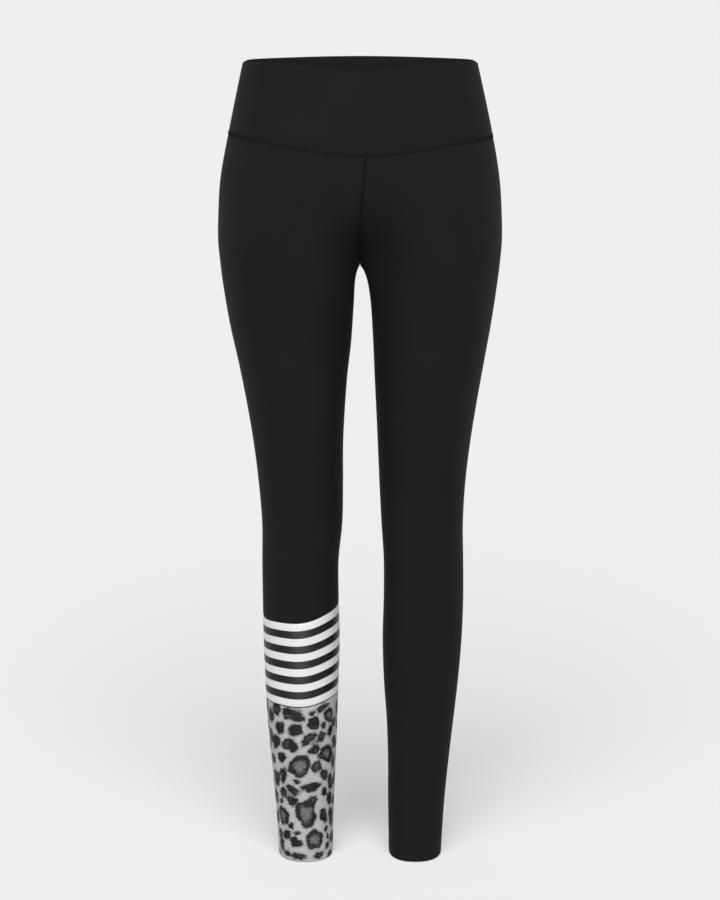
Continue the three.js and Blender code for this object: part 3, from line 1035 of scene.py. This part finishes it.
def build_leg(side, face_name):
    """The front or back of a leg, from the waistband to the hem, or on the right to the striped
    panel."""
    face = FACES[face_name]
    is_short = side == RIGHT
    if is_short:
        foot = moved(stripe_edge(STRIPE_TOP, face), SEAM_GAP / 2)
        rows = leg_rows(face, SHORT_LEG_ROWS_END)
        edge_rows = [moved(foot, d) for d in SEAM_LINES[::-1]]
        rows += rows_between(rows[-1], edge_rows[0], 4) + edge_rows
        inward = np.zeros(len(rows))
    else:
        rows, inward = hemmed_rows(leg_rows(face, HEM_ROWS_END))
    cloth = Cloth(side, face, rows, columns_of(LEG_COLUMNS))
    offset = turned_in(cloth.from_side) + turned_in(cloth.z[0] - cloth.z)
    is_rise = smoothstep(cloth.z, CROTCH_Z - 6, CROTCH_Z + 4)
    facing = smoothstep(np.abs(cloth.normals[..., 1]), 0.5, 0.95)
    flatlock = (pressed(cloth.from_centre, FLATLOCK_HALF)
                + pressed(cloth.from_centre, 0, CENTRE_DENT))
    offset += is_rise * facing * flatlock
    offset += (1 - is_rise) * turned_in(cloth.from_centre)
    if is_short:
        offset += turned_in(cloth.z - cloth.z[-1])
    else:
        offset += hem_dent(cloth, inward, BLACK_HEM_DENT)
    points = cloth.pushed(offset - inward[:, None])
    # Painted shade above the crotch, on the fronts alone.
    under = painted_crotch_shade(points) if face == FRONT else np.zeros(cloth.z.shape)
    cloth_piece(f"leg_{SIDE_NAMES[side]}_{face_name}", points, flat_map(cloth, points),
                bpy.context.scene.leggings_sizes.cloth, black_materials(),
                {"under": under, "inside": np.zeros(cloth.z.shape)})


def build_band(face_name):
    """Half of the doubled waistband, folded at its top edge."""
    face = FACES[face_name]
    foot = moved(band_edge(face), SEAM_GAP / 2)
    top = top_edge(face)
    lines = [moved(foot, d) for d in BAND_LINES]
    rows = lines + rows_between(lines[-1], moved(top, -BAND_FOLD), BAND_ROWS)
    inward = [0.0] * len(rows)
    for angle in np.linspace(0, math.pi, 11):
        rows.append(moved(top, BAND_FOLD * math.sin(angle) - BAND_FOLD))
        inward.append(BAND_FOLD * (1 - math.cos(angle)))
    behind = rows_between(moved(top, -BAND_FOLD), foot, BAND_INNER_ROWS) + [foot]
    inward = np.array(inward + [2 * BAND_FOLD] * len(behind))[::-1]
    rows = (rows + behind)[::-1]
    halves = {}
    for side in (RIGHT, LEFT):
        half = Cloth(side, face, rows, columns_of(BAND_COLUMNS, (0,)), leaning=False)
        half.points[:, 0 if side * face < 0 else -1, 0] = 0
        half.across = half.points[..., 0]
        halves[side] = half
    first = RIGHT if face == FRONT else LEFT
    cloth = halves[first].join(halves[-first])
    height = cloth.z - cloth.z[-1]
    offset = turned_in(cloth.from_side) + turned_in(height)
    offset += pressed(height, BAND_STITCH_HEIGHT + BAND_DENT_LIFT, BAND_DENT)
    offset = offset * (inward < BAND_FOLD)[:, None]
    # Painted light: the rows folded inside the band are painted lighter than the knit.
    inside_painted_lighter = (inward > 1.5 * BAND_FOLD).astype(float)[:, None]
    points = cloth.pushed(offset - inward[:, None])
    cloth_piece(f"waistband_{face_name}", points, flat_map(cloth, points),
                bpy.context.scene.leggings_sizes.band_cloth, black_materials(),
                {"under": np.zeros(cloth.z.shape),
                 "inside": np.repeat(inside_painted_lighter, cloth.z.shape[1], axis=1)})


def build_stripes(face_name):
    """The front or back of the striped panel."""
    face = FACES[face_name]
    top = moved(stripe_edge(STRIPE_TOP, face), -SEAM_GAP / 2)
    foot = moved(stripe_edge(STRIPE_FOOT, face), SEAM_GAP / 2)
    first = [moved(top, -d) for d in SIDE_LINES]
    last = [moved(foot, d) for d in SIDE_LINES[::-1]]
    rows = first + rows_between(first[-1], last[0], STRIPE_ROWS) + last
    cloth = Cloth(RIGHT, face, rows, columns_of(STRIPE_COLUMNS, SIDE_LINES))
    from_top = cloth.z[0] - cloth.z
    offset = sum(turned_in(distance) for distance in (
        cloth.from_centre, cloth.from_side, from_top, cloth.z - cloth.z[-1]))
    points = cloth.pushed(offset)
    cloth_piece(f"stripe_panel_{face_name}", points, flat_map(cloth, points),
                bpy.context.scene.leggings_sizes.cloth,
                print_materials("striped_jersey", striped_jersey_finish),
                {"share": from_top / (cloth.z[0] - cloth.z[-1]),
                 "seam": seam_distance(cloth, cloth.z[0], cloth.z[-1])})


def build_spots(face_name):
    """The front or back of the spotted panel."""
    face = FACES[face_name]
    top = moved(stripe_edge(STRIPE_FOOT, face), -SEAM_GAP / 2)
    first = [moved(top, -d) for d in SIDE_LINES]
    rows = first + rows_between(first[-1], level(HEM_ROWS_END), SPOT_ROWS)
    rows, inward = hemmed_rows(rows)
    cloth = Cloth(RIGHT, face, rows, columns_of(SPOT_COLUMNS, SIDE_LINES))
    offset = sum(turned_in(distance) for distance in (
        cloth.from_centre, cloth.from_side, cloth.z[0] - cloth.z))
    offset += hem_dent(cloth, inward, PRINT_HEM_DENT)
    fields = spot_fields(face, seen(RIGHT, face, cloth.across), SPOTS_Z - cloth.z)
    fields["seam"] = seam_distance(cloth, cloth.z[0])
    points = cloth.pushed(offset - inward[:, None])
    cloth_piece(f"spot_panel_{face_name}", points, flat_map(cloth, points),
                bpy.context.scene.leggings_sizes.cloth,
                print_materials("spotted_jersey", spotted_jersey_finish), fields)


def on_cloth(side, face, row, kind, value, lift, leaning=True):
    """Points that lie on the cloth, lifted off it."""
    laid = skin(side, face, row, np.full(len(value), kind), value, leaning)
    return laid.points + laid.normals * (creased(side, face, laid.across, laid.z) + lift)[..., None]


def dashes(points, pieces=5, gap=1):
    """A line of points as separate stitches."""
    return [points[i:i + pieces] for i in range(0, len(points) - pieces, pieces + gap)]


def band_stitches(face):
    """The zigzag and its two rows of stitches, above the waistband's seam."""
    edge = band_edge(face)
    strands = []
    count = 2 * round(HALF_BAND / STITCH_PITCH)
    coarse, fine = (np.linspace(0.0, LAST_SHARE, points) for points in (count, 4 * count))
    heights = np.where(np.arange(count) % 2, 1.0, BAND_STITCH_HEIGHT)
    for side in (RIGHT, LEFT):
        strands.append(on_cloth(side, face, lambda x: edge(x) + heights, WHOLE, coarse,
                                STITCH_LIFT, leaning=False))
        for height in (0.9, BAND_STITCH_HEIGHT + 0.1):
            strands += dashes(on_cloth(side, face, moved(edge, height), WHOLE, fine, ROW_LIFT,
                                       leaning=False))
    return strands


def even_points(line, run, count):
    """This many points evenly along a line, whose points lie at the distances in run."""
    at = np.linspace(0, run[-1], count)
    return np.stack([np.interp(at, run, line[:, k]) for k in range(3)], axis=1)


def rise_stitches(face):
    """The flat seam down the middle, from the waistband to where the legs' curves close over it."""
    start = float(band_edge(face)(np.array(SEAM_LEAN if face == FRONT else 0.0))) - 0.5
    turn = np.linspace(math.acos(max(-1, 1 - (start - CROTCH_Z) / BACK_RISE_CURVE)), 0.02, 400)
    z = CROTCH_Z + BACK_RISE_CURVE * (1 - np.cos(turn))
    from_centre = np.full(len(z), FLATLOCK_HALF - 0.5)
    right, left = (on_cloth(side, face, lambda x: z, FROM_CENTRE, from_centre, STITCH_LIFT)
                   for side in (RIGHT, LEFT))
    apart = np.linalg.norm(left - right, axis=1) > STITCHES_APART
    right, left = right[apart], left[apart]
    run = np.concatenate([[0], np.cumsum(np.linalg.norm(np.diff(left, axis=0), axis=1))])
    count = 2 * round(run[-1] / STITCH_PITCH)
    is_left = (np.arange(count) % 2 == 0)[:, None]
    strands = [np.where(is_left, even_points(left, run, count), even_points(right, run, count))]
    for line in (right, left):
        strands += dashes(even_points(line, run, 4 * count))
    return strands


def hem_stitches(side, face):
    """The row of stitches round half a hem."""
    shares = np.linspace(0.0, LAST_SHARE, HEM_POINTS)
    return dashes(on_cloth(side, face, level(HEM_Z + HEM_STITCH_HEIGHT), WHOLE, shares, 0.0))


class LEGGINGS_OT_waistband(bpy.types.Operator):
    """Makes the two halves of the doubled waistband"""

    bl_idname = "leggings.waistband"
    bl_label = "Waistband"

    def execute(self, context):
        for face_name in FACES:
            build_band(face_name)
        return {"FINISHED"}


class LEGGINGS_OT_legs(bpy.types.Operator):
    """Makes the fronts and backs of the two black legs"""

    bl_idname = "leggings.legs"
    bl_label = "Legs"

    def execute(self, context):
        for face_name in FACES:
            build_leg(LEFT, face_name)
            build_leg(RIGHT, face_name)
        return {"FINISHED"}


class LEGGINGS_OT_striped_panels(bpy.types.Operator):
    """Makes the striped panels round the right calf"""

    bl_idname = "leggings.striped_panels"
    bl_label = "Striped panels"

    def execute(self, context):
        for face_name in FACES:
            build_stripes(face_name)
        return {"FINISHED"}


class LEGGINGS_OT_spotted_panels(bpy.types.Operator):
    """Makes the spotted panels round the right ankle"""

    bl_idname = "leggings.spotted_panels"
    bl_label = "Spotted panels"

    def execute(self, context):
        for face_name in FACES:
            build_spots(face_name)
        return {"FINISHED"}


class LEGGINGS_OT_threads(bpy.types.Operator):
    """Makes the stitches of the flat seams and the hems"""

    bl_idname = "leggings.threads"
    bl_label = "Threads"

    def execute(self, context):
        colours = context.scene.leggings_colours
        seams = thread_finish("seam_thread", colours.thread)
        hems = {LEFT: thread_finish("hem_thread", colours.hem_thread),
                RIGHT: thread_finish("print_thread", colours.print_thread)}
        for face_name, face in FACES.items():
            thread_piece(f"band_stitches_{face_name}", band_stitches(face), seams)
            thread_piece(f"centre_stitches_{face_name}", rise_stitches(face), seams)
            for side, finish in hems.items():
                name = f"hem_stitches_{SIDE_NAMES[side]}_{face_name}"
                thread_piece(name, hem_stitches(side, face), finish)
        return {"FINISHED"}


# How each piece was cut, flat and unstretched: the box round its cut in metres, its area in square
# metres, what it hangs from, and the stitches on it.
CUTS = table("Cut", "node width length area hangs_from stitches", [
    ("waistband_front", 0.345, 0.195, 0.0603, (), ("band_stitches_front",)),
    ("waistband_back", 0.335, 0.185, 0.0588, (), ("band_stitches_back",)),
    ("leg_left_front", 0.255, 0.925, 0.1395, ("waistband_front",),
     ("centre_stitches_front", "hem_stitches_left_front")),
    ("leg_left_back", 0.265, 0.93, 0.143, ("waistband_back",),
     ("centre_stitches_back", "hem_stitches_left_back")),
    ("leg_right_front", 0.255, 0.6, 0.1034, ("waistband_front",), ()),
    ("leg_right_back", 0.265, 0.61, 0.1062, ("waistband_back",), ()),
    ("stripe_panel_front", 0.124, 0.115, 0.01375, ("leg_right_front",), ()),
    ("stripe_panel_back", 0.127, 0.113, 0.014, ("leg_right_back",), ()),
    ("spot_panel_front", 0.118, 0.216, 0.0231, ("stripe_panel_front",),
     ("hem_stitches_right_front",)),
    ("spot_panel_back", 0.118, 0.216, 0.0231, ("stripe_panel_back",),
     ("hem_stitches_right_back",)),
])


class LEGGINGS_OT_sheets(bpy.types.Operator):
    """Looks up each cut piece of cloth by name"""

    bl_idname = "leggings.sheets"
    bl_label = "Sheets"

    def execute(self, context):
        for cut in CUTS:
            bpy.data.objects[cut.node + "_cloth"]
            [node + "_cloth" for node in cut.hangs_from]
        return {"FINISHED"}


class LEGGINGS_OT_stage(bpy.types.Operator):
    """Makes the floor, the light and the camera"""

    bl_idname = "leggings.stage"
    bl_label = "Stage"

    def execute(self, context):
        build_floor()
        build_light()
        build_camera()
        return {"FINISHED"}


# How the names of the garment's pieces start.
PIECES = ("waistband", "leg_", "stripe", "spot", "band_", "centre_", "hem_")

# The surround's tone, the share of the floor's light that the broad light gives, the floor's own
# colour and the share of its tone that the light on it alone gives.
PALE = 0.863
BROAD_SHARE = 0.3
BROAD_ELEVATION = math.radians(50)
FLOOR_SHADE = 0.1
FLOOR_CAST = 0.45
FLOOR_CAST_ELEVATION = math.radians(52)
SUN_ANGLE = math.radians(50)
SUN_TURN = math.radians(-2)
FLOOR_HALF = 200
FLOOR_DROP = 0.0004

# The camera, in metres and degrees below level, with its lens in millimetres.
CAMERA_PLACE = (0, -2.5, 0.09)
CAMERA_PITCH = 12.2395
CAMERA_LENS = 86.88
CAMERA_SENSOR = 36

# Lights that shine towards +Y, with a pitch of 90 degrees when level and less when they look down.
# Each lights only the pieces whose names start so, and a glossy one shows only in their gloss.
PANELS = table("LightPanel", "name place width height power pitch glossy lights", [
    ("low_panel", (-0.02, -1.1, -0.7), 0.22, 0.5, 2.2, 90, False, PIECES),
    ("high_panel", (0, -1.6, 0.9), 1, 0.4, 12, 58, False, PIECES),
    ("gloss_panel", (-0.11, -1.2, -0.5), 0.11, 0.9, 40, 90, True, ("stripe", "spot")),
])


def build_floor():
    """A wide pale floor just under the hems, which glows a little so that it stays even."""
    bm = bmesh.new()
    bmesh.ops.create_grid(bm, x_segments=2, y_segments=2, size=FLOOR_HALF)
    mesh = bpy.data.meshes.new("floor")
    bm.to_mesh(mesh)
    bm.free()
    for vertex in mesh.vertices:
        vertex.co.z = HEM_Z * MM - FLOOR_DROP
    floor = bpy.data.objects.new("floor", mesh)
    bpy.context.scene.collection.objects.link(floor)
    finish = Finish("pale_floor")
    mottle = finish.noise(finish.node("ShaderNodeTexCoord").outputs["Object"], 1)
    colour = finish.mix(mottle, (FLOOR_SHADE,) * 3, (FLOOR_SHADE * 1.002,) * 3)
    glow = PALE * (1 - FLOOR_CAST - FLOOR_SHADE / (1 - BROAD_SHARE))
    mesh.materials.append(finish.surface({
        "Base Color": colour, "Roughness": 1, "Specular IOR Level": 0,
        "Emission Color": (1, 1, 1, 1), "Emission Strength": glow}))


def sun(name, elevation, on_floor):
    """A broad light from the front that gives a level floor this much light."""
    light = bpy.data.lights.new(name, "SUN")
    light.angle = SUN_ANGLE
    light.energy = on_floor / math.sin(elevation)
    lamp = bpy.data.objects.new(name, light)
    lamp.rotation_euler = (math.pi / 2 - elevation, 0, SUN_TURN)
    bpy.context.scene.collection.objects.link(lamp)
    return lamp


def light_only(lamp, names):
    """Makes a lamp light only the objects whose names start so."""
    lit = bpy.data.collections.new(lamp.name + "_lights")
    for piece in bpy.context.scene.objects:
        if piece.name.startswith(names):
            lit.objects.link(piece)
    lamp.light_linking.receiver_collection = lit


def build_light():
    """An even pale surround, a broad light from the front, a light for the floor alone that keeps
    it as pale, and panels for the cloth alone."""
    world = bpy.data.worlds.new("studio")
    world.use_nodes = True
    background = world.node_tree.nodes["Background"]
    background.inputs["Color"].default_value = (PALE, PALE, PALE, 1)
    background.inputs["Strength"].default_value = 1
    bpy.context.scene.world = world
    sun("broad_light", BROAD_ELEVATION, PALE * math.pi * BROAD_SHARE / (1 - BROAD_SHARE))
    on_floor = PALE * math.pi * FLOOR_CAST / FLOOR_SHADE
    light_only(sun("floor_light", FLOOR_CAST_ELEVATION, on_floor), ("floor",))
    for panel in PANELS:
        light = bpy.data.lights.new(panel.name, "AREA")
        light.shape = "RECTANGLE"
        light.size, light.size_y = panel.width, panel.height
        light.energy = panel.power
        lamp = bpy.data.objects.new(panel.name, light)
        lamp.location = panel.place
        lamp.rotation_euler = (math.radians(panel.pitch), 0, 0)
        lamp.visible_camera = False
        lamp.visible_diffuse = not panel.glossy
        bpy.context.scene.collection.objects.link(lamp)
        light_only(lamp, panel.lights)


def build_camera():
    """The camera, in front of the garment and looking slightly down."""
    camera = bpy.data.cameras.new("camera")
    camera.sensor_fit = "VERTICAL"
    camera.sensor_height = CAMERA_SENSOR
    camera.lens = CAMERA_LENS
    camera.clip_end = 1000
    view = bpy.data.objects.new("camera", camera)
    view.location = CAMERA_PLACE
    view.rotation_euler = (math.radians(90 - CAMERA_PITCH), 0, 0)
    bpy.context.scene.collection.objects.link(view)
    bpy.context.scene.camera = view
    bpy.context.scene.view_settings.view_transform = "Standard"
    bpy.context.scene.view_settings.look = "None"


class LEGGINGS_PT_panel(bpy.types.Panel):
    """Lists the sizes, the colours and the steps"""

    bl_idname = "LEGGINGS_PT_panel"
    bl_label = "Leggings"
    bl_space_type = "VIEW_3D"
    bl_region_type = "UI"
    bl_category = "Leggings"

    def draw(self, context):
        for group in (context.scene.leggings_sizes, context.scene.leggings_colours):
            box = self.layout.box()
            for name in group.__annotations__:
                box.prop(group, name)
        for operator in OPERATORS:
            self.layout.operator(operator.bl_idname)


OPERATORS = (
    LEGGINGS_OT_waistband,
    LEGGINGS_OT_legs,
    LEGGINGS_OT_striped_panels,
    LEGGINGS_OT_spotted_panels,
    LEGGINGS_OT_threads,
    LEGGINGS_OT_sheets,
    LEGGINGS_OT_stage,
)
CLASSES = (LeggingsSizes, LeggingsColours, *OPERATORS, LEGGINGS_PT_panel)


def register():
    for cls in CLASSES:
        bpy.utils.register_class(cls)
    bpy.types.Scene.leggings_sizes = bpy.props.PointerProperty(type=LeggingsSizes)
    bpy.types.Scene.leggings_colours = bpy.props.PointerProperty(type=LeggingsColours)


def unregister():
    del bpy.types.Scene.leggings_sizes
    del bpy.types.Scene.leggings_colours
    for cls in reversed(CLASSES):
        bpy.utils.unregister_class(cls)


def main():
    register()
    bpy.ops.leggings.waistband()
    bpy.ops.leggings.legs()
    bpy.ops.leggings.striped_panels()
    bpy.ops.leggings.spotted_panels()
    bpy.ops.leggings.threads()
    bpy.ops.leggings.sheets()
    bpy.ops.leggings.stage()


if __name__ == "__main__":
    main()
